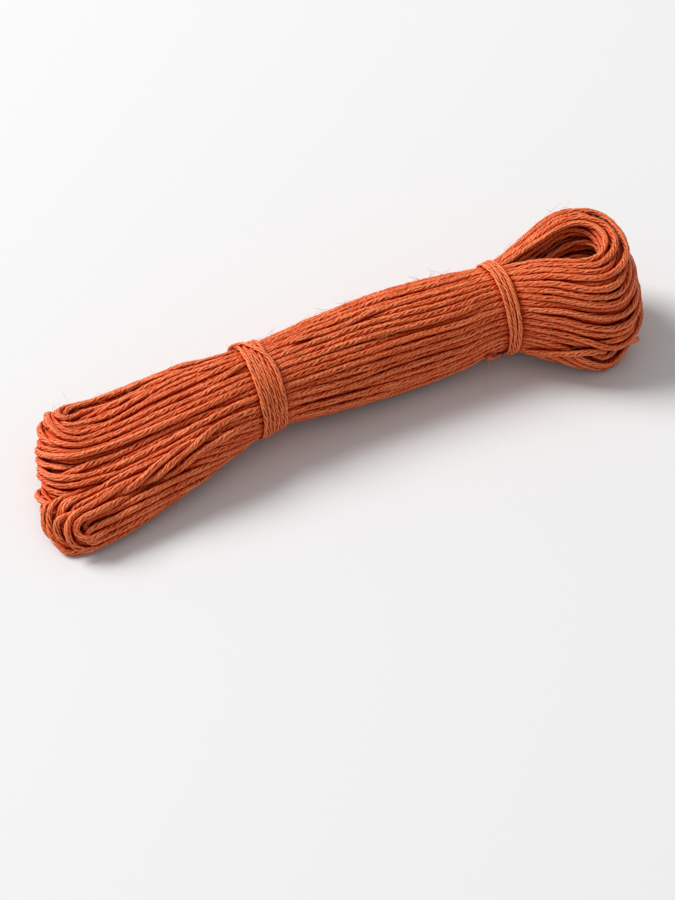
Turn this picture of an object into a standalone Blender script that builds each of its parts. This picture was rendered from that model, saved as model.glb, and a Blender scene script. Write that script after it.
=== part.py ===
# A hank of embroidery floss: one long twisted thread wound round and round, tied at two necks.
# The turns lie in a flattened ring. Its two runs lie on each other along the middle, spread into a
# wide flat fan at the low X end and part into an open loop at the high X end.
# Lengths are in millimetres until a point is placed, +Z is up, and the hank lies along X on Z = 0.
import math
from collections import namedtuple

import bmesh
import bpy
import numpy as np

MM = 0.001
MIDDLE_ALONG = 55.32         # the place along the hank that stands over the origin
MIDDLE_SIDE = 0.39           # the sideways place that stands over the origin
RIDGES = 12                  # raised bundles of turns across the outside of one run
RIDGE_STEPS = 3              # faces across one ridge
FURROW_DEPTH = 0.55          # depth of the furrows between them
CORNER_FILL = (4, 0.35)      # powers of the squared section's outline
INNER_STEPS = 4              # faces across the inside of one run
RUN_STEPS = 28               # sections along one run
FAN_STEPS = 9                # sections round the turn at the fan
LOOP_STEPS = 13              # sections round the turn at the open loop
TIE_THREAD = 0.74            # thickness of the tying thread
TIE_PITCH = 0.80             # from one turn of a tie to the next
TIE_CLEARANCE = 0.58         # room between the hank and the threads tied round it
GAP_BRIDGE = 4.0             # how fast a tie passes over the space between the two runs
NEARBY = 0.1                 # radians from a point to those that give the way it faces
TIE_STEPS = 24               # points in one turn of a tie
LEFT_TIE = 40.0              # place of the wide tie along the hank
RIGHT_TIE = 84.4             # place of the narrow tie along the hank
LEFT_TURNS = 6               # turns of the wide tie, the last one crossing the others
CROSSING = (112.0, 207.0)    # where the crossing turn leaves its place and arrives, in degrees
LIFTING = (85.0, 112.0)      # where the crossing turn rises over the others
LOWERING = (213.0, 240.0)    # where it comes down again
RIGHT_TURNS = 3              # turns of the narrow tie
FREE_END = 3.2               # length of the narrow tie's loose end
FREE_END_STEPS = 6           # points along it
FREE_END_ANGLES = (-62.0, -18.0)  # its tip and its root, in degrees from the hank's underside
FREE_END_BEND = 1.6          # how late the loose end turns into the first turn

# One row for each section of the hank, in millimetres and degrees:
# along       distance from the tip of the fan
# side        sideways place of the section's middle
# height      height of the section's middle
# thick       thickness of one run, measured away from the other run
# half_width  half the width of the section, across the runs
# half_gap    half the space between the two runs
# twist       angle of the width from level, the far side rising
# lean        extra angle of the direction in which the runs lie apart
# square      how far the rounded section is filled out at its corners, from 0 to 1
Section = namedtuple("Section", "along side height thick half_width half_gap twist lean square")
SECTIONS = (
    Section(0.0, -0.9, 4.6, 5.0, 14.2, 0.15, 3.0, -24.0, 0.60),
    Section(11.0, -0.8, 4.6, 5.3, 12.5, 0.15, 0.0, -22.0, 0.40),
    Section(25.0, 0.8, 6.9, 6.0, 10.2, 0.15, 2.0, -14.0, 0.15),
    Section(40.0, 3.0, 8.4, 6.5, 7.7, 0.15, 8.0, 0.0, 0.00),
    Section(52.0, 4.2, 8.0, 7.1, 8.6, 0.15, 16.0, 0.0, 0.00),
    Section(64.0, 5.0, 8.1, 7.4, 8.9, 0.15, 32.0, 0.0, 0.00),
    Section(75.0, 5.0, 8.5, 7.0, 8.5, 0.15, 48.0, 0.0, 0.00),
    Section(84.4, 4.6, 9.4, 6.5, 7.7, 0.30, 60.0, 0.0, 0.00),
    Section(91.0, 3.3, 9.4, 7.8, 9.2, 1.70, 68.0, 6.0, 0.30),
    Section(97.5, 2.3, 9.6, 8.1, 10.5, 3.50, 74.0, 13.0, 0.50),
    Section(110.6, 3.3, 9.9, 8.1, 10.8, 4.30, 76.0, 15.0, 0.60),
)
LENGTH = SECTIONS[-1].along

# One row for each end, where the runs turn into each other, in millimetres:
# tip         place of its tip along the hank
# outward     1 where it points along +X, -1 where it points the other way
# reach       length of the turn, against half the distance between the runs' outsides
# bulge       how full the turn is at its corners, 2 being an ellipse
# skew        how much further it reaches on the second run's side than on the first's
# low_edge    distance behind the tip at the edge with negative across, and the power it grows with
# high_edge   the same at the edge with positive across
End = namedtuple("End", "tip outward reach bulge skew low_edge high_edge")
FAN = End(0.0, -1.0, 0.80, 2.2, 0.0, (2.0, 2.0), (4.6, 3.0))
LOOP = End(LENGTH, 1.0, 0.66, 2.5, 0.22, (9.5, 2.0), (1.0, 2.0))

# Colour and roughness of each material.
FLOSS = ((0.39, 0.065, 0.02, 1.0), 0.85)
TIE_FLOSS = ((0.57, 0.13, 0.046, 1.0), 0.75)


def row_slopes(rows):
    """Slope of every column at each row, so that the curve through the rows has no corners."""
    step = np.diff(rows[:, 0])[:, None]
    slope = np.diff(rows, axis=0) / step
    inner = (slope[:-1] * step[1:] + slope[1:] * step[:-1]) / (step[:-1] + step[1:])
    return np.vstack([slope[:1], inner, slope[-1:]])


ROWS = np.array(SECTIONS)
SLOPES = row_slopes(ROWS)


def section_at(along):
    """The hank's section at any place along it, on a smooth curve through the rows."""
    place = min(max(along, 0.0), LENGTH)
    row = min(int(np.searchsorted(ROWS[:, 0], place, side="right")), len(ROWS) - 1) - 1
    step = ROWS[row + 1, 0] - ROWS[row, 0]
    t = (place - ROWS[row, 0]) / step
    values = (2 * t**3 - 3 * t**2 + 1) * ROWS[row] + (3 * t**2 - 2 * t**3) * ROWS[row + 1]
    values += step * ((t**3 - 2 * t**2 + t) * SLOPES[row] + (t**3 - t**2) * SLOPES[row + 1])
    return Section(*values)


def lay(along, apart, across):
    """A point in metres, from its distances along the hank, between the runs and over the width."""
    section = section_at(along)
    width_angle = math.radians(section.twist)
    apart_angle = math.radians(section.twist + section.lean)
    side = section.side + across * math.cos(width_angle) - apart * math.sin(apart_angle)
    height = section.height + across * math.sin(width_angle) + apart * math.cos(apart_angle)
    return (along - MIDDLE_ALONG) * MM, (side - MIDDLE_SIDE) * MM, max(height, 0.0) * MM


def outer_depth(angle, square):
    """Depth share of a run's outside at an angle, from -90 degrees at one edge to 90 at the other."""
    filled = max(1.0 - math.sin(angle) ** CORNER_FILL[0], 0.0) ** CORNER_FILL[1]
    return (1.0 - square) * math.cos(angle) + square * filled


def run_outline():
    """Angle, furrow share and depth share of the points round one run: ridged outside, plain inside."""
    outline = []
    steps = RIDGES * RIDGE_STEPS
    for step in range(steps + 1):
        furrowed = 1.0 if step % RIDGE_STEPS == 0 else 0.0
        outline.append((math.pi * (step / steps - 0.5), furrowed, 1.0))
    for step in range(1, INNER_STEPS):
        outline.append((math.asin(1.0 - 2.0 * step / INNER_STEPS), 1.0, 0.0))
    return outline


def turn_centre(end, across):
    """Place along the hank about which an end's turns go round, by their place across it."""
    tip_section = section_at(end.tip)
    distance, power = end.high_edge if across > 0 else end.low_edge
    inside = end.reach * (tip_section.half_gap + tip_section.thick) + distance * abs(across) ** power
    return end.tip - end.outward * inside


def spot_shares(section, angle, furrowed, deep):
    """Depth and across shares of one point of the outline, with the furrows cut into it."""
    scale = 1.0 - furrowed * FURROW_DEPTH / section.thick
    return deep * scale * outer_depth(angle, section.square), scale * math.sin(angle)


def run_point(share, side, angle, furrowed, deep):
    """A point of one run, at a share of the way from the fan to the loop."""
    start = turn_centre(FAN, math.sin(angle))
    along = start + share * (turn_centre(LOOP, math.sin(angle)) - start)
    section = section_at(along)
    depth, across = spot_shares(section, angle, furrowed, deep)
    return lay(along, side * (section.half_gap + depth * section.thick), across * section.half_width)


def turn_point(turned, end, angle, furrowed, deep):
    """A point of the turn at one end, at an angle turned from the first run."""
    middle = turn_centre(end, math.sin(angle))
    section = section_at(middle)
    depth, across = spot_shares(section, angle, furrowed, deep)
    radius = section.half_gap + depth * section.thick
    facing = math.copysign(abs(math.cos(turned)) ** (2.0 / end.bulge), math.cos(turned))
    outward = math.sin(turned) ** (2.0 / end.bulge) * (1.0 - end.skew * math.cos(turned))
    along = middle + end.outward * end.reach * radius * outward
    return lay(along, radius * facing, across * section_at(along).half_width)


def hank_sections():
    """The hank's sections in order: one run, the loop's turn, the other run and the fan's turn."""
    outline = run_outline()
    sections = []
    for step in range(RUN_STEPS + 1):
        sections.append([run_point(step / RUN_STEPS, 1, *spot) for spot in outline])
    for step in range(1, LOOP_STEPS):
        turned = math.pi * step / LOOP_STEPS
        sections.append([turn_point(turned, LOOP, *spot) for spot in outline])
    for step in range(RUN_STEPS, -1, -1):
        sections.append([run_point(step / RUN_STEPS, -1, *spot) for spot in outline])
    for step in range(FAN_STEPS - 1, 0, -1):
        turned = math.pi * step / FAN_STEPS
        sections.append([turn_point(turned, FAN, *spot) for spot in outline])
    return sections


def make_material(name, finish):
    colour, roughness = finish
    material = bpy.data.materials.new(name)
    material.use_nodes = True
    shader = material.node_tree.nodes["Principled BSDF"]
    shader.inputs["Base Color"].default_value = colour
    shader.inputs["Roughness"].default_value = roughness
    return material


def make_hank(collection):
    """The wound turns as one closed ring, skinned from section to section."""
    body = bmesh.new()
    rings = [[body.verts.new(point) for point in section] for section in hank_sections()]
    count = len(rings[0])
    for number, ring in enumerate(rings):
        following = rings[(number + 1) % len(rings)]
        for index in range(count):
            after = (index + 1) % count
            body.faces.new((ring[index], ring[after], following[after], following[index]))
    bmesh.ops.recalc_face_normals(body, faces=body.faces)
    mesh = bpy.data.meshes.new("hank")
    body.to_mesh(mesh)
    body.free()
    mesh.shade_smooth()
    mesh.materials.append(make_material("floss", FLOSS))
    collection.objects.link(bpy.data.objects.new("hank", mesh))


def neck_outline(section, angle):
    """Apart and across distances of the hank's outside, at an angle from its underside."""
    facing = math.cos(angle)
    depth = math.copysign(outer_depth(math.asin(math.sin(angle)), section.square), facing)
    gap = max(-1.0, min(1.0, GAP_BRIDGE * facing)) * section.half_gap
    return np.array((-depth * section.thick - gap, math.sin(angle) * section.half_width))


def neck_point(along, degrees, lift):
    """A point of a tying thread, at an angle from the hank's underside, the far side first."""
    section = section_at(along)
    angle = math.radians(degrees)
    before, after = (neck_outline(section, angle + turn) for turn in (-NEARBY, NEARBY))
    outward = np.array((before[1] - after[1], after[0] - before[0]))
    room = TIE_CLEARANCE + TIE_THREAD / 2 + lift
    apart, across = neck_outline(section, angle) + outward / np.linalg.norm(outward) * room
    return lay(along, apart, across)


def between(value, span):
    """A smooth rise from 0 to 1 over a span of values."""
    t = min(max((value - span[0]) / (span[1] - span[0]), 0.0), 1.0)
    return t * t * (3.0 - 2.0 * t)


def left_tie_route():
    """Turns beside each other, then one that crosses over them on the top."""
    points = []
    for step in range(LEFT_TURNS * TIE_STEPS):
        turn = step / TIE_STEPS
        last = 360.0 * (turn - (LEFT_TURNS - 1))
        along = LEFT_TIE + TIE_PITCH * (LEFT_TURNS / 2 - 1 - turn + LEFT_TURNS * between(last, CROSSING))
        lift = between(last, LIFTING) * (1.0 - between(last, LOWERING))
        points.append(neck_point(along, 360.0 * turn, lift * TIE_PITCH))
    return points


def right_tie_route():
    """A short loose end along the hank's near underside, then turns beside each other."""
    start = RIGHT_TIE - TIE_PITCH * RIGHT_TURNS / 2
    tip, root = FREE_END_ANGLES
    points = []
    for step in range(FREE_END_STEPS):
        share = (step / FREE_END_STEPS) ** FREE_END_BEND
        points.append(neck_point(start - FREE_END * (1.0 - share), tip + (root - tip) * share, 0.0))
    for step in range(RIGHT_TURNS * TIE_STEPS - 1):
        turn = step / TIE_STEPS
        points.append(neck_point(start + TIE_PITCH * turn, root + 360.0 * turn, 0.0))
    return points


def make_tie(name, points, collection, material):
    """A tying thread: a round tube along its route."""
    curve = bpy.data.curves.new(name, "CURVE")
    curve.dimensions = "3D"
    curve.bevel_depth = TIE_THREAD / 2 * MM
    curve.bevel_resolution = 2
    curve.use_fill_caps = True
    spline = curve.splines.new("POLY")
    spline.points.add(len(points) - 1)
    for target, point in zip(spline.points, points):
        target.co = (*point, 1.0)
    curve.materials.append(material)
    collection.objects.link(bpy.data.objects.new(name, curve))


def main():
    for item in list(bpy.data.objects):
        bpy.data.objects.remove(item, do_unlink=True)
    collection = bpy.data.collections.new("embroidery_floss_hank")
    bpy.context.scene.collection.children.link(collection)
    make_hank(collection)
    tie_material = make_material("tie_floss", TIE_FLOSS)
    make_tie("tie_left", left_tie_route(), collection, tie_material)
    make_tie("tie_right", right_tie_route(), collection, tie_material)


main()
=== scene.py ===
import math

import bpy
import numpy as np
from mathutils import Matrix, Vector
from mathutils.kdtree import KDTree


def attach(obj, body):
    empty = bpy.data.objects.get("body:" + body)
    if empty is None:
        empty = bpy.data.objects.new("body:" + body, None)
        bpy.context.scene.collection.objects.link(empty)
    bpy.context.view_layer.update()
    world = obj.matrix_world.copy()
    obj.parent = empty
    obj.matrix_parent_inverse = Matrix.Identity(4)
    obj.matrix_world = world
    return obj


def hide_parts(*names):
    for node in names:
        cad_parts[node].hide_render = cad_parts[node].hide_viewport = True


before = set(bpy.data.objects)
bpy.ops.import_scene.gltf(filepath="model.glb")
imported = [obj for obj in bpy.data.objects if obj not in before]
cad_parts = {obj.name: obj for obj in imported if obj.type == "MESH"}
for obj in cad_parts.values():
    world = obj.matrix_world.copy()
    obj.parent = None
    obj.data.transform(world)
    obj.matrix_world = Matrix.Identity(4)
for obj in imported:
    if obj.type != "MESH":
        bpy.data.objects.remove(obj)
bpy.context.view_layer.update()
mm = 0.001
tiny = 1e-9                      # keeps divisions by a length safe
print("frame loaded:", sorted(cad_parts))

# the wound form at stations along the hank, in millimetres and degrees
sectionNames = (
    "along", "side", "height", "thick", "halfWidth", "halfGap", "twist", "lean", "square",
)
sectionRows = np.array((
    (0.0, -0.9, 4.6, 5.0, 14.2, 0.15, 3.0, -24.0, 0.60),
    (11.0, -0.8, 4.6, 5.3, 12.5, 0.15, 0.0, -22.0, 0.40),
    (25.0, 0.8, 6.9, 6.0, 10.2, 0.15, 2.0, -14.0, 0.15),
    (40.0, 3.0, 8.4, 6.5, 7.7, 0.15, 8.0, 0.0, 0.00),
    (52.0, 4.2, 8.0, 7.1, 8.6, 0.15, 16.0, 0.0, 0.00),
    (64.0, 5.0, 8.1, 7.4, 8.9, 0.15, 32.0, 0.0, 0.00),
    (75.0, 5.0, 8.5, 7.0, 8.5, 0.15, 48.0, 0.0, 0.00),
    (84.4, 4.6, 9.4, 6.5, 7.7, 0.30, 60.0, 0.0, 0.00),
    (91.0, 3.3, 9.4, 7.8, 9.2, 1.70, 68.0, 6.0, 0.30),
    (97.5, 2.3, 9.6, 8.1, 10.5, 3.50, 74.0, 13.0, 0.50),
    (110.6, 3.3, 9.9, 8.1, 10.8, 4.30, 76.0, 15.0, 0.60),
))
form = {
    "middleAlong": 55.32,
    "middleSide": 0.39,
    "leftTie": 40.0,
    "rightTie": 84.4,
    "between": (4, 104),         # stations that have strands on every side of their middle
    "flatness": (4, 0.35),       # powers of a squared section's outline
    "squarePower": 3,            # what a full square adds to the power of a round outline
}
# where the runs turn into each other: the tip, how far and how full the outer and inner turns
# reach, how far they stand back from the tip, at each edge with the power that it grows with,
# and how far they come forward, by their place across the hank
fanEnd = {
    "tip": 0.0,
    "outward": -1,
    "reach": 0.80,
    "innerReach": 0.80,
    "inset": 2.6,
    "lowForward": 3.4,
    "forward": ((-1.0, -0.6, 0.4), (0.1, 3.0, 0.0)),
    "bulge": 2.2,
    "skew": 0.0,
    "lowEdge": (2.0, 2.0),
    "highEdge": (4.6, 3.0),
}
loopEnd = {
    "tip": 110.6,
    "outward": 1,
    "reach": 0.66,
    "innerReach": 1.05,
    "inset": 1.0,
    "lowForward": 0.0,
    "forward": ((-1.0, 1.0), (0.0, 0.0)),
    "bulge": 2.5,
    "skew": 0.22,
    "lowEdge": (9.5, 2.0),
    "highEdge": (1.0, 2.0),
}


def rowSlopes(rows):
    step = np.diff(rows[:, :1], axis=0)
    slope = np.diff(rows, axis=0) / step
    inner = (slope[:-1] * step[1:] + slope[1:] * step[:-1]) / (step[:-1] + step[1:])
    return np.vstack([slope[:1], inner, slope[-1:]])


sectionSlopes = rowSlopes(sectionRows)


def curveAt(where, stations, rows, slopes):
    # on the smooth curve through the rows, at these places
    row = np.clip(np.searchsorted(stations, where, side="right") - 1, 0, len(stations) - 2)
    span = (stations[row + 1] - stations[row])[..., None]
    t = (where - stations[row])[..., None] / span
    return (rows[row] * (2 * t**3 - 3 * t**2 + 1) + rows[row + 1] * (3 * t**2 - 2 * t**3)
            + slopes[row] * span * (t**3 - 2 * t**2 + t) + slopes[row + 1] * span * (t**3 - t**2))


def sizeIn(row, name):
    return row[sectionNames.index(name)]


def sectionAt(along):
    # every size of the wound form at these places
    stations = sectionRows[:, 0]
    clamped = np.clip(along, stations[0], stations[-1])
    values = curveAt(clamped, stations, sectionRows, sectionSlopes)
    return {name: values[..., column] for column, name in enumerate(sectionNames)}


def layAt(along, apart, across):
    # millimetres along, through and across the hank, to millimetres in the frame
    section = sectionAt(along)
    twist = np.radians(section["twist"])
    lean = np.radians(section["twist"] + section["lean"])
    side = section["side"] + across * np.cos(twist) - apart * np.sin(lean)
    height = section["height"] + across * np.sin(twist) + apart * np.cos(lean)
    return np.stack([along - form["middleAlong"], side - form["middleSide"], height], axis=-1)


def outerDepth(angle, square):
    flat, full = form["flatness"]
    filled = np.maximum(1 - np.sin(angle) ** flat, 0) ** full
    return (1 - square) * np.cos(angle) + square * filled


def endTurns(end, size, angle, acrossShare, radius, rolledOver):
    # the middle, reach, fullness and skew of the turns at one end; a power of 1 is a round turn
    tip = sectionAt(np.array(end["tip"]))
    depth = size * outerDepth(angle, tip["square"]) * tip["thick"]
    share = depth / tip["thick"]
    reach = end["innerReach"] + (end["reach"] - end["innerReach"]) * share
    distance = np.where(acrossShare > 0, end["highEdge"][0], end["lowEdge"][0])
    power = np.where(acrossShare > 0, end["highEdge"][1], end["lowEdge"][1])
    rolledBack = hank["rolledBack"] * (hank["outerSize"] - size)
    layer = np.where(rolledOver, rolledBack, 1 - share) * tip["thick"]
    layer = layer - np.where(rolledOver, 0, end["lowForward"] * np.clip(-acrossShare, 0, 1))
    inside = (end["inset"] - np.interp(acrossShare, *end["forward"]) + end["reach"] * layer
              + reach * radius + distance * np.abs(acrossShare) ** power)
    skew = end["skew"] * share
    return end["tip"] - end["outward"] * inside, reach, 2 / (2 + (end["bulge"] - 2) * share), skew


# the wound thread
hank = {
    "seed": 11,
    "strandPitch": 0.96,         # between neighbours under the left tie
    "innerPitch": 1.40,
    "closeLayers": 2,
    "layerPitch": 1.03,
    "outerLayer": (5.85, 7.05),  # half sizes of the outermost layer under the left tie
    "splitGap": 0.62,            # from the middle plane to the nearest strands
    "runSteps": 110,
    "turnSteps": 16,
    "pointSpacing": 0.85,
    "strandWidth": 1.20,
    "tiedWidth": 0.93,
    "settleSteps": 140,
    "spreading": (0.5, 0.5, 0.5),  # the smoothings that share each push along the strand
    "givesWay": 0.5,             # the share of an overlap that each of the two moves
    "pushing": 1.3,              # and how much more, so that few steps do
    "pushReach": 0.75,           # along the strand, in point spacings
    "holding": (0.012, 0.12),    # towards the first place, and how much more at a tie
    "tiedReach": (1.6, 2.4, 1.8),  # how a tie's hold fades: start, left and right tie
    "inward": 0.2,               # how fast outer strands are brought back into the form
    "searchEvery": 20,
    "searchBeyond": 0.5,
    "searchSkip": 4,             # points along the same strand that don't push each other
    "fairing": (0.5, -0.52),     # one pass smooths, the next gives the turns their size back
    "fairings": 8,
    "tightestBend": 1.15,
    "crossReach": 1.0,           # strands nearer than this go over one another
    "crossLift": 2.0,
    "skin": 0.55,                # how deep the outermost strand centres lie
    "outerSize": 0.91,
    "parting": (-0.50, -0.40, -0.42),   # across the hank: at the tie, then both sides of it
    "partingReach": (2.0, 37.0),
    "partingEdge": (-1.6, -0.6),  # places in the upper bundle between which its roll begins
    "partingRoll": (10, 34),      # stations between which they roll all the same
    "furrow": 0.5,
    "lowGroup": (0.85, 0.2),     # how much flatter and lower the near bundle lies
    # stations and how far each turn is rolled over in the bundle, above and below the parting
    "rollStations": (0, 12, 24, 34, 40, 52, 64, 75, 84.4, 92),
    "upperRoll": (52, 52, 51, 50, 50, 42, 30, 18, 7, 0),
    "lowerRoll": (-10, -4, 16, 38, 48, 42, 30, 18, 7, 0),
    "rolledBack": 0.5,           # how far inner turns of the rolled bundle stand back
    "mostStray": 1.6,            # strays are held below this many times their usual size
    "ragged": (0.1, 0.5, 4.0),   # at the loop, for low turns: from, at most, and how much more
    # stations and how far the second layer comes up between the outer strands, 1 is level
    "crowding": ((6, 20, 36, 44, 62, 80, 88, 98), (0.8, 0.5, 0.1, 0.0, 0.2, 0.0, 0.2, 0.7)),
    "crowdedLayer": 0.14,
    "crowdedLeast": 0.1,
    "gapShare": 0.1,             # of the thickness, within which the two runs part
    "lowTurn": 1.7,              # half the width of the tight turns low down at the loop
    "lowTurns": (-0.85, -0.40),
    "lowRoll": 48.0,             # how far the low turns are rolled over at the loop
    "lowRolled": (-0.1, 0.8),
    "lowRollReach": (88.0, 104.0),
    "otherHand": 4,              # from one low turn that is rolled the other way to the next
    "plainLayers": 4,            # hidden inner layers, made with fewer points
    "pieces": 4,
}
# each length of floss is six fine strands, turned round one another and a little uneven
fineStrands = {
    "count": 6,
    "sides": 4,
    "radius": 0.275,
    "ring": 0.36,                # from the middle of the floss to the middle of a strand
    "spacing": 0.62,             # between points along them
}
# the hidden inside has fewer
plainStrands = {
    "count": 3,
    "sides": 4,
    "radius": 0.36,
    "ring": 0.32,
    "spacing": 1.0,
}
# how strands turn and wander, in the floss and in the ties
plies = {
    "evenings": 3,               # how often the outward direction is evened along the floss
    "turnLength": 9.0,
    "drift": (1.2, 12),          # how far the turning wanders, and how slowly
    "swing": 0.40,
    "swingLength": 2.8,
    "swingDrift": (2.0, 7),
    "swell": (0.16, 2.4),        # how far a strand moves in and out, and how slowly
    "flatten": 0.18,
}
loopPhase = 1.5
# how far strands stray from their even places:
# phase of the turn, then along, through and across the hank in millimetres
strays = np.array((
    (0.15, 0.0, 0.5, 0.8),
    (0.37, 0.0, 0.1, 0.1),
    (0.50, 0.0, 0.4, 0.6),
    (0.66, 0.0, 0.4, 0.6),
    (0.84, 0.0, 0.1, 0.1),
    (0.93, 0.0, 0.4, 0.6),
    (loopPhase, 0.8, 0.25, 0.4),
    (2.07, 0.0, 0.3, 0.5),
    (2.16, 0.0, 0.1, 0.1),
    (2.34, 0.0, 0.4, 0.6),
    (2.50, 0.0, 0.4, 0.6),
    (2.63, 0.0, 0.1, 0.1),
    (2.85, 0.0, 0.5, 0.8),
    (3.50, 0.4, 0.4, 0.6),
))


def windingSites():
    # places of the turns in the half section under the left tie, inner layers wound first
    neck = sectionRows[sectionRows[:, 0] == form["leftTie"]][0]
    neckThick, neckWidth = sizeIn(neck, "thick"), sizeIn(neck, "halfWidth")
    layers = []
    deep, wide = hank["outerLayer"]
    while deep > hank["splitGap"]:
        arc = math.pi * math.sqrt((deep**2 + wide**2) / 2)
        pitch = hank["strandPitch"] if len(layers) < hank["closeLayers"] else hank["innerPitch"]
        count = max(round(arc / pitch), 2)
        angles = np.linspace(-math.pi / 2, math.pi / 2, count)
        across = wide * np.sin(angles) / neckWidth
        through = (hank["splitGap"] + (deep - hank["splitGap"]) * np.cos(angles)) / neckThick
        layer = np.stack([across, through], axis=-1)
        layers.append(layer[::-1] if len(layers) % 2 else layer)
        deep -= hank["layerPitch"]
        wide -= hank["layerPitch"]
    plain = sum(len(layer) for layer in layers[-hank["plainLayers"]:])
    return np.vstack(layers[::-1]), plain


def eased(share):
    return share * share * (3 - 2 * share)


def ease(value, start, end):
    return eased(np.clip((value - start) / (end - start), 0, 1))


def glide(where, knots, values):
    # eases from each value to the next
    row = np.clip(np.searchsorted(knots, where, side="right") - 1, 0, len(knots) - 2)
    share = np.clip((where - knots[row]) / (knots[row + 1] - knots[row]), 0, 1)
    share = eased(share)[..., None]
    return values[row] * (1 - share) + values[row + 1] * share


def rolled(across, through, degrees):
    # both runs of a turn, moved round inside the outline of their bundle
    angle = np.radians(degrees)
    near = across * np.cos(angle) - through * np.sin(angle)
    far = across * np.cos(angle) + through * np.sin(angle)
    up = through * np.cos(angle) + across * np.sin(angle)
    down = through * np.cos(angle) - across * np.sin(angle)
    return near, far, up, down


def runsAt(middle, size, angle, isUpper, hand):
    # both runs of each turn at this station: across on the near and far one, up and down,
    # and half the distance from one to the other
    section = sectionAt(middle)
    crowd = np.interp(middle, hank["crowding"][0], hank["crowding"][1])
    inside = hank["outerSize"] - size
    size = hank["outerSize"] - np.maximum(inside - crowd * hank["crowdedLayer"],
                                          hank["crowdedLeast"] * inside)
    acrossShare = size * np.sin(angle)
    through = size * outerDepth(angle, section["square"])
    before, upper, lower = hank["parting"]
    group = np.where(isUpper, (1 + upper) / 2, (lower - 1) / 2)
    groupSize = np.where(isUpper, (1 - upper) / 2, (lower + 1) / 2)
    inGroup = np.where(isUpper, 2 * (acrossShare - before) / (1 - before) - 1,
                       2 * (acrossShare + 1) / (before + 1) - 1)
    upperEdge = ease(inGroup, *hank["partingEdge"])
    parting = upperEdge + (1 - upperEdge) * ease(middle, *hank["partingRoll"])
    roll = np.where(isUpper, parting * np.interp(middle, hank["rollStations"], hank["upperRoll"]),
                    np.interp(middle, hank["rollStations"], hank["lowerRoll"]))
    roll = roll + (hand * hank["lowRoll"] * ease(-acrossShare, *hank["lowRolled"])
                   * ease(middle, *hank["lowRollReach"]))
    whole = rolled(acrossShare, through, roll)
    towards = np.clip(np.where(isUpper, -inGroup, inGroup), 0, 1)
    parted = rolled(inGroup, through * (1 - hank["furrow"] * towards**2), roll)
    split = 1 - ease(middle, *hank["partingReach"])
    near = whole[0] + (group + groupSize * parted[0] - whole[0]) * split
    far = whole[1] + (group + groupSize * parted[1] - whole[1]) * split
    flat = np.where(isUpper, 1, hank["lowGroup"][0])
    sunk = np.where(isUpper, 0, hank["lowGroup"][1])
    up = whole[2] + (flat * parted[2] - sunk - whole[2]) * split
    down = whole[3] + (flat * parted[3] + sunk - whole[3]) * split
    share = hank["gapShare"]
    up = section["thick"] * up + section["halfGap"] * np.clip(up / share, -1, 1)
    down = section["thick"] * down + section["halfGap"] * np.clip(down / share, -1, 1)
    tight = 1 - ease(acrossShare, *hank["lowTurns"])
    tight = tight * section["halfGap"] / sizeIn(sectionRows[-1], "halfGap")
    down = down + (2 * hank["lowTurn"] - up - down) * tight
    radius = np.hypot((up + down) / 2, (near - far) / 2 * section["halfWidth"])
    return near, far, up, down, radius


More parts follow.
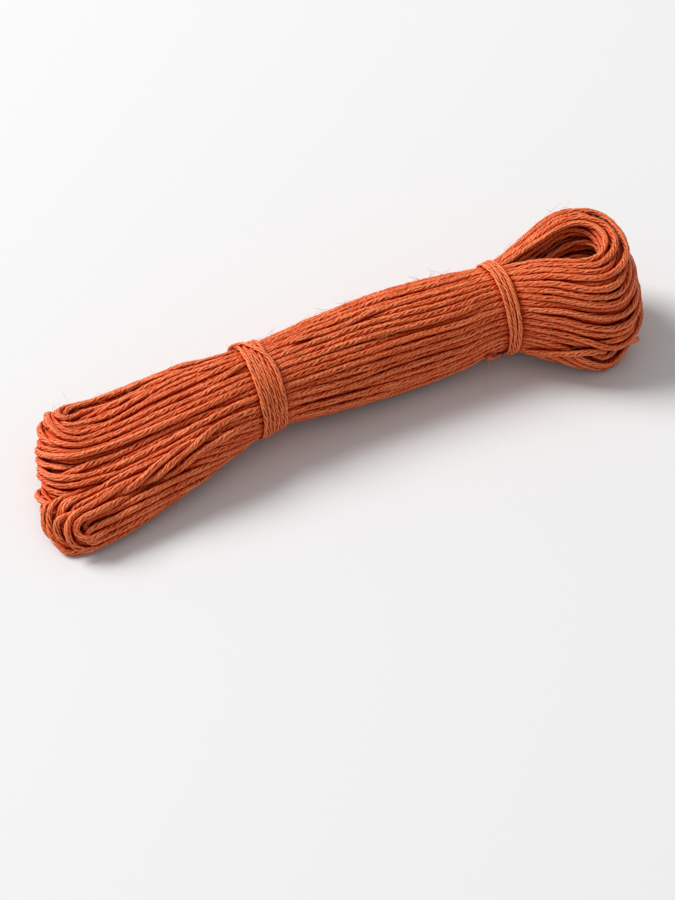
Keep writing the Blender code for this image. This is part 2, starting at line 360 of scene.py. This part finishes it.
def windThread():
    # each turn has four parts: the near run, round the loop, the far run and round the fan
    rng = np.random.default_rng(hank["seed"])
    sites, plain = windingSites()
    turns = len(sites)
    runShares = np.arange(hank["runSteps"]) / hank["runSteps"]
    turnShares = np.arange(hank["turnSteps"]) / hank["turnSteps"]
    phases = np.concatenate([runShares, 1 + turnShares, 2 + runShares, 3 + turnShares])
    phase = np.tile(phases, turns)
    turn = np.repeat(np.arange(turns), len(phases))
    part = np.floor(phase).astype(int)
    share = phase - part

    # from one place to the next while the thread goes round the fan end
    shift = np.where(part == 3, eased(share), 0)[:, None]
    site = sites[turn] * (1 - shift) + sites[np.minimum(turn + 1, turns - 1)] * shift
    size = np.hypot(site[:, 0], site[:, 1])
    angle = np.arctan2(site[:, 0], site[:, 1])
    acrossShare = size * np.sin(angle)
    isUpper = sites[turn][:, 0] > hank["parting"][0]

    # at the loop a quarter of the low turns is rolled over the other way
    hand = np.where(turn % hank["otherHand"], 1, -1)
    atTip = [runsAt(np.full(len(size), float(end["tip"])), size, angle, isUpper, hand)[-1]
             for end in (fanEnd, loopEnd)]
    fanCentre, fanReach, fanPower, fanSkew = endTurns(
        fanEnd, size, angle, acrossShare, atTip[0], isUpper)
    loopCentre, loopReach, loopPower, loopSkew = endTurns(
        loopEnd, size, angle, acrossShare, atTip[1], False)
    towardsLoop = np.where(part == 0, share, 1 - share)
    middle = np.select([part == 1, part == 3], [loopCentre, fanCentre],
                       fanCentre + towardsLoop * (loopCentre - fanCentre))
    near, far, up, down, radius = runsAt(middle, size, angle, isUpper, hand)
    facing, outwards = np.cos(math.pi * share), np.abs(np.sin(math.pi * share))
    atLoop = part == 1
    skew = 1 - np.where(atLoop, loopSkew, fanSkew) * facing
    power = np.where(atLoop, loopPower, fanPower)
    outwards = outwards ** power * skew
    facing = np.copysign(np.abs(facing) ** power, facing)
    along = middle + np.select(
        [atLoop, part == 3], [loopReach * radius * outwards, -fanReach * radius * outwards], 0)
    run = np.select([part == 0, atLoop, part == 2], [1, facing, -1], -facing)
    apart = (up - down) / 2 + (up + down) / 2 * run
    across = ((near + far) / 2 + (near - far) / 2 * run) * sectionAt(along)["halfWidth"]

    knots = (np.arange(turns)[:, None] * 4 + strays[:, 0]).ravel()
    sizes = np.tile(strays[:, 1:], (turns, 1))
    values = rng.normal(size=sizes.shape) * sizes
    values = np.clip(values, -hank["mostStray"] * sizes, hank["mostStray"] * sizes)
    # at the loop the low turns are more uneven
    lowFrom, lowMost, more = hank["ragged"]
    loopRows = np.flatnonzero(strays[:, 0] == loopPhase) + np.arange(turns) * len(strays)
    values[loopRows, 0] *= 1 + np.clip(-sites[:, 0] - lowFrom, 0, lowMost) * more
    stray = glide(turn * 4 + phase, knots, values)
    line = layAt(along + stray[:, 0], apart + stray[:, 1], across + stray[:, 2])

    # both ends of the thread lie hidden under the left tie
    tied = np.abs(along - form["leftTie"])
    start = np.argmin(np.where((turn == 0) & (part == 0), tied, np.inf))
    end = np.argmin(np.where((turn == turns - 1) & (part == 2), tied, np.inf))
    return line[start:end + 1], turns, plain


def spaced(line, spacing):
    # the same line with evenly spaced points, on a smooth curve through the old ones
    lengths = np.concatenate([[0], np.cumsum(np.linalg.norm(np.diff(line, axis=0), axis=1))])
    count = int(round(lengths[-1] / spacing)) + 1
    where = np.linspace(0, lengths[-1], count)
    slopes = rowSlopes(np.concatenate([lengths[:, None], line], axis=1))[:, 1:]
    return curveAt(where, lengths, line, slopes)


def nearPairs(line, reach, skip):
    tree = KDTree(len(line))
    for index, point in enumerate(line):
        tree.insert(point, index)
    tree.balance()
    pairs = []
    for index, point in enumerate(line):
        pairs.extend((index, other) for _, other, _ in tree.find_range(point, reach)
                     if other > index + skip)
    return np.array(pairs)


def inForm(line):
    # places in the wound form: its section, the run's side and the shares of its sizes
    along = line[:, 0] + form["middleAlong"]
    section = sectionAt(along)
    twist = np.radians(section["twist"])
    lean = np.radians(section["twist"] + section["lean"])
    side = line[:, 1] + form["middleSide"] - section["side"]
    height = line[:, 2] - section["height"]
    across = (side * np.cos(lean) + height * np.sin(lean)) / np.cos(lean - twist)
    apart = (height * np.cos(twist) - side * np.sin(twist)) / np.cos(lean - twist)
    beyond = np.maximum(np.abs(apart) - section["halfGap"], 0)
    power = 2 + form["squarePower"] * section["square"]
    size = ((np.abs(across) / (section["halfWidth"] - hank["skin"])) ** power
            + (beyond / (section["thick"] - hank["skin"])) ** power) ** (1 / power) + tiny
    return along, section, apart, beyond, across, size


def formSize(line):
    return inForm(line)[-1]


def heldIn(line):
    # brings strands that stand out back to the outside of the wound form
    along, section, apart, beyond, across, size = inForm(line)
    keep = np.minimum(1 / size, 1)
    apart = np.where(beyond > 0, np.copysign(section["halfGap"] + beyond * keep, apart), apart)
    return layAt(along, apart, across * keep)


def faired(line, shares):
    # each point goes these shares of the way to the middle between its neighbours
    for share in shares:
        line[1:-1] += share * ((line[:-2] + line[2:]) / 2 - line[1:-1])
    return line


def settle(line):
    # strands push each other apart, stay near their places and bend smoothly
    rest = line.copy()
    along = line[:, 0] + form["middleAlong"]
    fading, leftReach, rightReach = hank["tiedReach"]
    fromTie = np.minimum(np.abs(along - form["leftTie"]) / leftReach,
                         np.abs(along - form["rightTie"]) / rightReach)
    tied = np.clip(fading - fromTie, 0, 1)
    width = hank["strandWidth"] + (hank["tiedWidth"] - hank["strandWidth"]) * tied
    pull = (hank["holding"][0] + hank["holding"][1] * tied)[:, None]
    lowest = fineStrands["ring"] + fineStrands["radius"]
    mostBend = hank["pointSpacing"] ** 2 / (2 * hank["tightestBend"])
    outward = unit(rest - layAt(np.clip(along, *form["between"]), 0, 0))
    for step in range(hank["settleSteps"]):
        if step % hank["searchEvery"] == 0:
            pairs = nearPairs(line, hank["strandWidth"] + hank["searchBeyond"], hank["searchSkip"])
        heading = np.gradient(line, axis=0)
        heading /= np.linalg.norm(heading, axis=1)[:, None]
        a, b = pairs[:, 0], pairs[:, 1]
        between = line[b] - line[a]
        sameWay = np.sign(np.sum(heading[a] * heading[b], axis=1))[:, None]
        course = heading[a] + heading[b] * sameWay
        course /= np.linalg.norm(course, axis=1)[:, None] + tiny
        lengthways = np.sum(between * course, axis=1)
        sideways = between - course * lengthways[:, None]
        distance = np.linalg.norm(sideways, axis=1) + tiny
        # where two cross, the one wound later goes over the other
        over = np.maximum(1 - distance / hank["crossReach"], 0)[:, None] * hank["crossLift"]
        towards = unit(sideways + over * outward[a])
        room = (width[a] + width[b]) / 2
        overlap = np.where(np.abs(lengthways) < hank["pushReach"] * hank["pointSpacing"],
                           np.maximum(room - distance, 0), 0)
        push = towards * overlap[:, None] * hank["givesWay"]
        hit = overlap > 0
        count = np.bincount(a[hit], minlength=len(line)) + np.bincount(b[hit], minlength=len(line))
        for axis in range(3):
            move = (np.bincount(b, push[:, axis], len(line))
                    - np.bincount(a, push[:, axis], len(line)))
            line[:, axis] += hank["pushing"] * move / np.maximum(count, 1)
        # too tight a bend is eased: half of it at the point itself, a quarter at each neighbour
        bend = np.zeros_like(line)
        bend[1:-1] = (line[:-2] + line[2:]) / 2 - line[1:-1]
        size = np.linalg.norm(bend, axis=1)[:, None]
        excess = bend * np.maximum(1 - mostBend / (size + tiny), 0)
        line = line + 0.5 * excess
        line[1:] -= 0.25 * excess[:-1]
        line[:-1] -= 0.25 * excess[1:]
        line = rest + faired(line - rest, hank["spreading"]) * (1 - pull)
        line += hank["inward"] * (heldIn(line) - line)
        line[:, 2] = np.maximum(line[:, 2], lowest)
    line = faired(line, hank["fairing"] * hank["fairings"])
    line[:, 2] = np.maximum(line[:, 2], lowest)
    return line


def unit(vectors):
    return vectors / (np.linalg.norm(vectors, axis=-1, keepdims=True) + tiny)


def slowNoise(rng, count, spacing, wave):
    # smooth random values from about -1 to 1, a new one each wave millimetres
    knots = np.arange(int(count * spacing / wave) + 3) * wave
    values = rng.uniform(-1, 1, (len(knots), 1))
    return glide(np.arange(count) * spacing, knots, values)[:, 0]


def plyLines(line, make, rng):
    # the paths of the strands that a length of thread is made of
    spacing, count = make["spacing"], make["count"]
    centre = layAt(np.clip(line[:, 0] + form["middleAlong"], *form["between"]), 0, 0)
    course = unit(np.gradient(line, axis=0))
    outward = line - centre
    for _ in range(plies["evenings"]):
        outward = unit(outward - np.sum(outward * course, axis=1)[:, None] * course)
        outward[1:-1] = (outward[:-2] + outward[1:-1] + outward[2:]) / 3
    outward = unit(outward)
    sideways = np.cross(course, outward)
    places = np.arange(len(line)) * spacing
    drift, driftLength = plies["drift"]
    swingDrift, swingDriftLength = plies["swingDrift"]
    swell, swellLength = plies["swell"]
    turned = 2 * math.pi * places / plies["turnLength"]
    turned += drift * slowNoise(rng, len(line), spacing, driftLength)
    lines = []
    for ply in range(count):
        swingPhase = 2 * math.pi * (places / plies["swingLength"] + rng.uniform())
        swingPhase += swingDrift * slowNoise(rng, len(line), spacing, swingDriftLength)
        angle = turned + 2 * math.pi * ply / count + plies["swing"] * np.sin(swingPhase)
        reach = make["ring"] * (1 + swell * slowNoise(rng, len(line), spacing, swellLength))
        lines.append(line + sideways * (reach * np.cos(angle))[:, None]
                     + outward * (reach * (1 - plies["flatten"]) * np.sin(angle))[:, None])
    return lines


def roundProfile(sides, radius):
    # a closed flat curve to sweep along a thread
    curve = bpy.data.curves.new("profile", "CURVE")
    curve.dimensions = "2D"
    spline = curve.splines.new("POLY")
    spline.points.add(sides - 1)
    for index, point in enumerate(spline.points):
        turned = -2 * math.pi * index / sides
        point.co = (radius * math.cos(turned) * mm, radius * math.sin(turned) * mm, 0, 1)
    spline.use_cyclic_u = True
    profile = bpy.data.objects.new("profile", curve)
    bpy.context.scene.collection.objects.link(profile)
    return profile


def threadPiece(name, lines, make):
    # lengths of thread as one curve, then a closed mesh with millimetres along it on its UV map
    mergeDistance = 0.002 * mm
    profile = roundProfile(make["sides"], make["radius"])
    curve = bpy.data.curves.new(name, "CURVE")
    curve.dimensions = "3D"
    for line in lines:
        spline = curve.splines.new("POLY")
        spline.points.add(len(line) - 1)
        spline.points.foreach_set("co", np.column_stack([line * mm, np.ones(len(line))]).ravel())
    curve.bevel_mode = "OBJECT"
    curve.bevel_object = profile
    curve.use_fill_caps = True
    piece = bpy.data.objects.new(name, curve)
    bpy.context.scene.collection.objects.link(piece)
    bpy.ops.object.select_all(action="DESELECT")
    piece.select_set(True)
    bpy.context.view_layer.objects.active = piece
    bpy.ops.object.convert(target="MESH")
    piece = bpy.context.object
    bpy.ops.object.mode_set(mode="EDIT")
    bpy.ops.mesh.select_all(action="SELECT")
    bpy.ops.mesh.remove_doubles(threshold=mergeDistance)
    bpy.ops.object.mode_set(mode="OBJECT")
    layer = piece.data.uv_layers[0]
    places = np.empty(len(layer.uv) * 2, np.float32)
    layer.uv.foreach_get("vector", places)
    places[0::2] *= len(lines[0]) * make["spacing"]
    layer.uv.foreach_set("vector", places)
    piece.data.shade_smooth()
    bpy.data.objects.remove(profile)
    return piece


def triangleCount(piece):
    return len(piece.data.loops) - 2 * len(piece.data.polygons)


def flossPiece(name, line, make):
    return threadPiece(name, plyLines(spaced(line, make["spacing"]), make, rng), make)


rawLine, turnCount, plainTurns = windThread()
rawLine = spaced(rawLine, hank["pointSpacing"])
print("wound", turnCount, "turns,", len(rawLine), "points")
settledLine = settle(rawLine)
print("settled:", round(len(settledLine) * hank["pointSpacing"] / 1000, 2), "m")

rng = np.random.default_rng(hank["seed"] + 1)
along = settledLine[:, 0] + form["middleAlong"]
rides = np.flatnonzero((along[:-1] < form["leftTie"]) & (along[1:] >= form["leftTie"]))
plainEnd = rides[plainTurns]
fineTurns = len(rides) - plainTurns
fineCuts = [plainEnd]
for index in range(1, hank["pieces"]):
    fineCuts.append(rides[plainTurns + round(fineTurns * index / hank["pieces"])])
fineCuts.append(len(settledLine) - 1)
flossPieces = [flossPiece("flossInside", settledLine[:plainEnd + 1], plainStrands)]
for index in range(hank["pieces"]):
    part = settledLine[fineCuts[index]:fineCuts[index + 1] + 1]
    flossPieces.append(flossPiece(f"floss{index + 1}", part, fineStrands))
print("floss:", [triangleCount(piece) for piece in flossPieces], "triangles")

# the two ties
ties = {
    "thread": 0.74,
    "pitch": 0.76,
    "sink": 0.16,                # how far a tie presses into the strands
    "steps": 90,                 # a turn
    "leftTurns": 6,
    "rightTurns": 3,
    "crossing": (112.0, 207.0),  # angles of the last turn of the left tie, from the underside
    "lifting": (85.0, 112.0),
    "lowering": (213.0, 240.0),
    "lift": 0.6,                 # how far the last turn rises over the others, in threads
    "touchReach": 0.9,           # how far along the hank a turn feels for strands
    "gather": 0.45,              # how far the right tie draws together low on the near side
    "gatherAngle": 310.0,
    "freeEnd": 3.2,
    "freeEndAngles": (-70.0, -38.0),
    "freeEndBend": 1.6,
    "freeEndLift": 0.1,
    "freeEndSteps": 12,
    "fairing": 0.5,
    "fairings": 30,
    "sides": 6,
    "count": 4,
    "radius": 0.19,
    "ring": 0.24,
    "spacing": 0.3,
}


def tautPoint(along, degrees, lift):
    # where a tight thread touches the bundle, facing this way: 0 is below, 90 far, 180 above
    face = np.array((math.sin(math.radians(degrees)), -math.cos(math.radians(degrees))))
    fromHere = np.abs(settledLine[:, 0] + form["middleAlong"] - along)
    near = settledLine[fromHere < ties["touchReach"]]
    touch = near[np.argmax(near[:, 1:] @ face)]
    reach = hank["strandWidth"] / 2 + ties["thread"] / 2 - ties["sink"] + lift
    return (along - form["middleAlong"], touch[1] + face[0] * reach,
            max(touch[2] + face[1] * reach, ties["thread"] / 2))


def leftTieRoute():
    route = []
    turns, steps, pitch = ties["leftTurns"], ties["steps"], ties["pitch"]
    for step in range(turns * steps + 1):
        turn = step / steps
        last = 360 * (turn - (turns - 1))
        crossed = turns * ease(last, *ties["crossing"])
        along = form["leftTie"] + pitch * (turns / 2 - 1 - turn + crossed)
        lifted = ease(last, *ties["lifting"]) * (1 - ease(last, *ties["lowering"]))
        route.append(tautPoint(along, 360 * turn, lifted * ties["lift"] * ties["thread"]))
    return np.array(route)


def rightTieRoute():
    turns, steps, pitch = ties["rightTurns"], ties["steps"], ties["pitch"]
    start = form["rightTie"] - pitch * turns / 2
    tip, root = ties["freeEndAngles"]
    route = []
    for step in range(ties["freeEndSteps"]):
        share = (step / ties["freeEndSteps"]) ** ties["freeEndBend"]
        route.append(tautPoint(start - ties["freeEnd"] * (1 - share), tip + (root - tip) * share,
                               ties["freeEndLift"]))
    for step in range(turns * steps + 1):
        turn = step / steps
        degrees = root + 360 * turn
        drawn = max(math.cos(math.radians(degrees - ties["gatherAngle"])), 0) ** 2 * ties["gather"]
        aside = pitch * (turn - turns / 2)
        lift = drawn * ties["thread"] * max(1 - abs(aside) / pitch, 0)
        route.append(tautPoint(form["rightTie"] + aside * (1 - drawn), degrees, lift))
    return np.array(route)


def tiePiece(name, route):
    # points that lie on the one before are left out
    samePlace = 1e-4
    steps = np.linalg.norm(np.diff(route, axis=0), axis=1)
    route = route[np.concatenate([[True], steps > samePlace])]
    route = faired(spaced(route, ties["spacing"]), [ties["fairing"]] * ties["fairings"])
    return threadPiece(name, plyLines(route, ties, rng), ties)


rightRoute = rightTieRoute()
freeEnd = rightRoute[0]
tiePieces = {
    "tie_left": tiePiece("leftTie", leftTieRoute()),
    "tie_right": tiePiece("rightTie", rightRoute),
}
print("ties:", [triangleCount(piece) for piece in tiePieces.values()], "triangles")

# loose fibres that stand off the strands
hairs = {
    "seed": 5,
    "count": 1500,
    "lengths": (0.5, 2.6),
    "shortening": (0.4, 1),
    "radius": 0.022,
    "sides": 3,
    "steps": 7,
    "start": 0.60,               # from the middle of a strand
    "spread": 1.3,               # radians to either side of straight outwards
    "rise": (0.05, 0.55),        # how steeply they leave it
    "curl": 0.5,
    "wave": (0.25, 5),           # its size, of the curl, and how many radians it takes
    "outermost": 0.90,
    "spacing": 0.3,
}
# the thin wisp that hangs from the right tie's free end
wisp = {
    "count": 5,
    "heading": (-0.25, -0.30, -0.9),
    "spread": 0.12,
    "root": 0.15,
    "lengths": (2.5, 4.6),
    "curl": 0.25,
}


def looseFibre(rng, start, heading, length, curl):
    share = np.linspace(0, 1, hairs["steps"])[:, None]
    bend = rng.normal(size=3) * curl
    waveSize, waves = hairs["wave"]
    wave = rng.normal(size=3) * curl * waveSize
    fibre = start + length * (heading * share + bend * share**2 + wave * np.sin(waves * share))
    fibre[:, 2] = np.maximum(fibre[:, 2], 2 * hairs["radius"])
    return fibre


def looseFibres():
    rng = np.random.default_rng(hairs["seed"])
    line = settledLine
    along = line[:, 0] + form["middleAlong"]
    course = unit(np.gradient(line, axis=0))
    outward = line - layAt(np.clip(along, *form["between"]), 0, 0)
    outward = unit(outward - np.sum(outward * course, axis=1)[:, None] * course)
    outside = np.flatnonzero(formSize(line) > hairs["outermost"])
    fibres = []
    for index in rng.choice(outside, hairs["count"]):
        turned = rng.uniform(-hairs["spread"], hairs["spread"])
        sideways = np.cross(course[index], outward[index])
        away = outward[index] * math.cos(turned) + sideways * math.sin(turned)
        rise = rng.uniform(*hairs["rise"])
        heading = course[index] * rng.choice((-1, 1)) * math.cos(rise) + away * math.sin(rise)
        length = rng.uniform(*hairs["lengths"]) * rng.uniform(*hairs["shortening"])
        root = line[index] + away * hairs["start"]
        fibres.append(looseFibre(rng, root, heading, length, hairs["curl"]))
    for _ in range(wisp["count"]):
        heading = np.array(wisp["heading"]) + rng.normal(size=3) * wisp["spread"]
        root = freeEnd + rng.normal(size=3) * wisp["root"]
        fibres.append(looseFibre(rng, root, heading, rng.uniform(*wisp["lengths"]), wisp["curl"]))
    return fibres


hairPiece = threadPiece("looseFibres", looseFibres(), hairs)
print("loose fibres:", triangleCount(hairPiece), "triangles")


class Wire:
    # a socket that sums can be written on
    def __init__(self, tree, socket=None):
        self.tree = tree
        self.socket = socket

    def node(self, kind, settings=None, sockets=None, output=0):
        made = self.tree.nodes.new(kind)
        for name, value in (settings or {}).items():
            setattr(made, name, value)
        for name, value in (sockets or {}).items():
            if isinstance(value, Wire):
                self.tree.links.new(value.socket, made.inputs[name])
            else:
                made.inputs[name].default_value = value
        return Wire(self.tree, made.outputs[output])

    def sum(self, operation, first, second):
        return self.node("ShaderNodeMath", {"operation": operation}, {0: first, 1: second})

    def __add__(self, other):
        return self.sum("ADD", self, other)

    def __radd__(self, other):
        return self.sum("ADD", other, self)

    def __sub__(self, other):
        return self.sum("SUBTRACT", self, other)

    def __rsub__(self, other):
        return self.sum("SUBTRACT", other, self)

    def __mul__(self, other):
        return self.sum("MULTIPLY", self, other)

    def __rmul__(self, other):
        return self.sum("MULTIPLY", other, self)


def newMaterial(name):
    material = bpy.data.materials.new(name)
    material.use_nodes = True
    tree = material.node_tree
    tree.nodes.clear()
    output = tree.nodes.new("ShaderNodeOutputMaterial")
    return material, Wire(tree), output


flossFinish = {
    # painted highlight: the paler colour on the open tops of the strands
    "paintedHighlight": (0.95, 0.345, 0.14, 1),
    "colour": (0.72, 0.062, 0.002, 1),
    # painted shade: the deeper colour in the crevices between strands
    "deep": (0.50, 0.014, 0.0, 1),
    "roughness": 0.5,
    "twist": 0.85,               # millimetres from one ply of a strand to the next
    # painted shade: the darkest colour, in the loop's eye and other deep hollows
    "paintedHollowShade": (0.26, 0.008, 0.0, 1),
    "crevice": 1.0,              # how far hollows between strands reach, in millimetres, for the painted shade in them and the painted highlight on the tops
    "hollowShade": 7.0,
}
tieFinish = {
    # painted highlight: the paler colour on the open tops of the threads
    "paintedHighlight": (0.95, 0.36, 0.15, 1),
    "colour": (0.73, 0.078, 0.006, 1),
    # painted shade: the deeper colour in the crevices between threads
    "deep": (0.45, 0.025, 0.002, 1),
    "roughness": 0.45,
    "twist": 0.85,
    # painted shade: the darkest colour, in deep hollows
    "paintedHollowShade": (0.26, 0.008, 0.0, 1),
    "crevice": 1.0,
    "hollowShade": 7.0,
}
hairFinish = {
    # painted highlight: the paler colour on the open parts of the fibres
    "paintedHighlight": (0.95, 0.40, 0.20, 1),
    "colour": (0.90, 0.30, 0.12, 1),
    # painted shade: the deeper colour where the fibres lie close in
    "deep": (0.62, 0.08, 0.02, 1),
    "roughness": 0.6,
    "twist": 1.4,
    # painted shade: the darkest colour, in deep hollows
    "paintedHollowShade": (0.30, 0.02, 0.004, 1),
    "crevice": 0.6,
    "hollowShade": 7.0,
}
# what all the threads share; a pair is where a ramp starts and where it ends
threadLook = {
    "fibreScale": (1.4, 11.0, 1.0),
    "fibreDetail": 3.0,
    "fibreRoughness": 0.6,
    "ridgeUneven": 0.6,
    "ridge": (0.0, 0.6),
    "samples": 6,
    # where the painted crevice shade fades out
    "crevice": (0.15, 0.6),
    # the painted highlight: how much the fibres and ply ridges break it up, and where it fades in
    "topFibres": 0.3,
    "topRidge": 0.2,
    "top": (0.66, 1.12),
    # where the painted hollow shade fades out
    "hollowShade": (0.05, 0.36),
    "bumpStrength": 0.35,
    "bumpDistance": 0.08,
    "specular": 0.22,
}


def threadMaterial(name, finish):
    # painted highlight: paler on the open tops of the strands; painted shade: deeper in the
    # crevices between them and darker in the hollows
    material, wire, output = newMaterial(name)

    def ramp(value, low, high):
        return wire.node("ShaderNodeMapRange", {"interpolation_type": "SMOOTHSTEP"},
                         {"Value": value, "From Min": low, "From Max": high})

    def mixed(share, low, high):
        return wire.node("ShaderNodeMix", {"data_type": "RGBA"},
                         {0: share, 6: low, 7: high}, output=2)

    def openness(distance):
        return wire.node("ShaderNodeAmbientOcclusion", {"samples": threadLook["samples"]},
                         {"Distance": distance * mm}, output=1)

    place = wire.node("ShaderNodeTexCoord", output=2)
    along, around = (wire.node("ShaderNodeSeparateXYZ", None, {0: place}, output=axis)
                     for axis in (0, 1))
    streaks = wire.node("ShaderNodeMapping", None,
                        {"Vector": place, "Scale": threadLook["fibreScale"]})
    fibres = wire.node("ShaderNodeTexNoise", None, {
        "Vector": streaks, "Scale": 1.0, "Detail": threadLook["fibreDetail"],
        "Roughness": threadLook["fibreRoughness"],
    })
    ridge = wire.node("ShaderNodeMath", {"operation": "SINE"},
                      {0: along * (math.pi / finish["twist"]) + around * (2 * math.pi)})
    ridge = wire.node("ShaderNodeMath", {"operation": "ABSOLUTE"}, {0: ridge})
    ridge = ramp(ridge + (fibres - 0.5) * threadLook["ridgeUneven"], *threadLook["ridge"])
    clear = openness(finish["crevice"])
    # painted highlight: paler where the strands are most open, on their tops and ply crests
    lit = clear + (fibres - 0.5) * threadLook["topFibres"] + (ridge - 1) * threadLook["topRidge"]
    # painted shade: deeper colour in the crevices, where less light gets in
    shade = mixed(ramp(clear, *threadLook["crevice"]), finish["deep"], finish["colour"])
    shade = mixed(ramp(lit, *threadLook["top"]), shade, finish["paintedHighlight"])
    # painted shade: darkest in the loop's eye and other deep hollows
    hollowShade = ramp(openness(finish["hollowShade"]), *threadLook["hollowShade"])
    shade = mixed(hollowShade, finish["paintedHollowShade"], shade)
    bump = wire.node("ShaderNodeBump", None, {
        "Height": ridge + fibres, "Strength": threadLook["bumpStrength"],
        "Distance": threadLook["bumpDistance"] * mm,
    })
    shader = wire.node("ShaderNodeBsdfPrincipled", None, {
        "Base Color": shade, "Roughness": finish["roughness"], "Normal": bump,
        "Specular IOR Level": threadLook["specular"],
    })
    wire.tree.links.new(shader.socket, output.inputs["Surface"])
    return material


flossMaterial = threadMaterial("cottonFloss", flossFinish)
for piece in flossPieces:
    piece.data.materials.clear()
    piece.data.materials.append(flossMaterial)
    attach(piece, "root")
    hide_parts("hank")
hairPiece.data.materials.clear()
hairPiece.data.materials.append(threadMaterial("looseFibre", hairFinish))
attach(hairPiece, "root")
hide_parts("hank")
tieMaterial = threadMaterial("tieFloss", tieFinish)
for node, piece in tiePieces.items():
    piece.data.materials.clear()
    piece.data.materials.append(tieMaterial)
    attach(piece, "root")
    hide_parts(node)
print("materials made")

# the floor, the light and the camera, in metres and watts, and the camera's place in millimetres
studio = {
    "floorSize": 6.0,
    "floorColour": (0.84, 0.84, 0.84, 1),
    "worldStrength": 0.40,
    "lampPlace": (-1.0, 1.05, 1.35),
    "lampSize": 0.9,
    "lampPower": 41.0,
    "lens": 85.0,
    "clip": (0.01, 20.0),
    "elevation": 48.0,
    "azimuth": -22.0,
    "distance": 359.1,
    "aim": (-5.75, -8.45, 0.08),
}

bpy.ops.object.select_all(action="DESELECT")
bpy.ops.mesh.primitive_plane_add(size=studio["floorSize"])
floor = bpy.context.object
floor.name = "floor"
material, wire, output = newMaterial("paper")
shader = wire.node("ShaderNodeBsdfDiffuse", None, {"Color": studio["floorColour"]})
wire.tree.links.new(shader.socket, output.inputs["Surface"])
floor.data.materials.append(material)

world = bpy.data.worlds.new("studio")
world.use_nodes = True
world.node_tree.nodes["Background"].inputs["Color"].default_value = (1, 1, 1, 1)
world.node_tree.nodes["Background"].inputs["Strength"].default_value = studio["worldStrength"]
bpy.context.scene.world = world

lamp = bpy.data.lights.new("keyLamp", "AREA")
lamp.size = studio["lampSize"]
lamp.energy = studio["lampPower"]
lampObject = bpy.data.objects.new("keyLamp", lamp)
lampObject.location = studio["lampPlace"]
lampObject.rotation_euler = (-Vector(studio["lampPlace"])).to_track_quat("-Z", "Y").to_euler()
bpy.context.scene.collection.objects.link(lampObject)

elevation, azimuth = math.radians(studio["elevation"]), math.radians(studio["azimuth"])
level = math.cos(elevation)
back = Vector((math.sin(azimuth) * level, -math.cos(azimuth) * level, math.sin(elevation)))
camera = bpy.data.cameras.new("camera")
camera.lens = studio["lens"]
camera.clip_start, camera.clip_end = studio["clip"]
cameraObject = bpy.data.objects.new("camera", camera)
cameraObject.location = (Vector(studio["aim"]) + back * studio["distance"]) * mm
cameraObject.rotation_euler = back.to_track_quat("Z", "Y").to_euler()
bpy.context.scene.collection.objects.link(cameraObject)
bpy.context.scene.camera = cameraObject
bpy.context.scene.view_settings.view_transform = "Standard"
print("studio made")
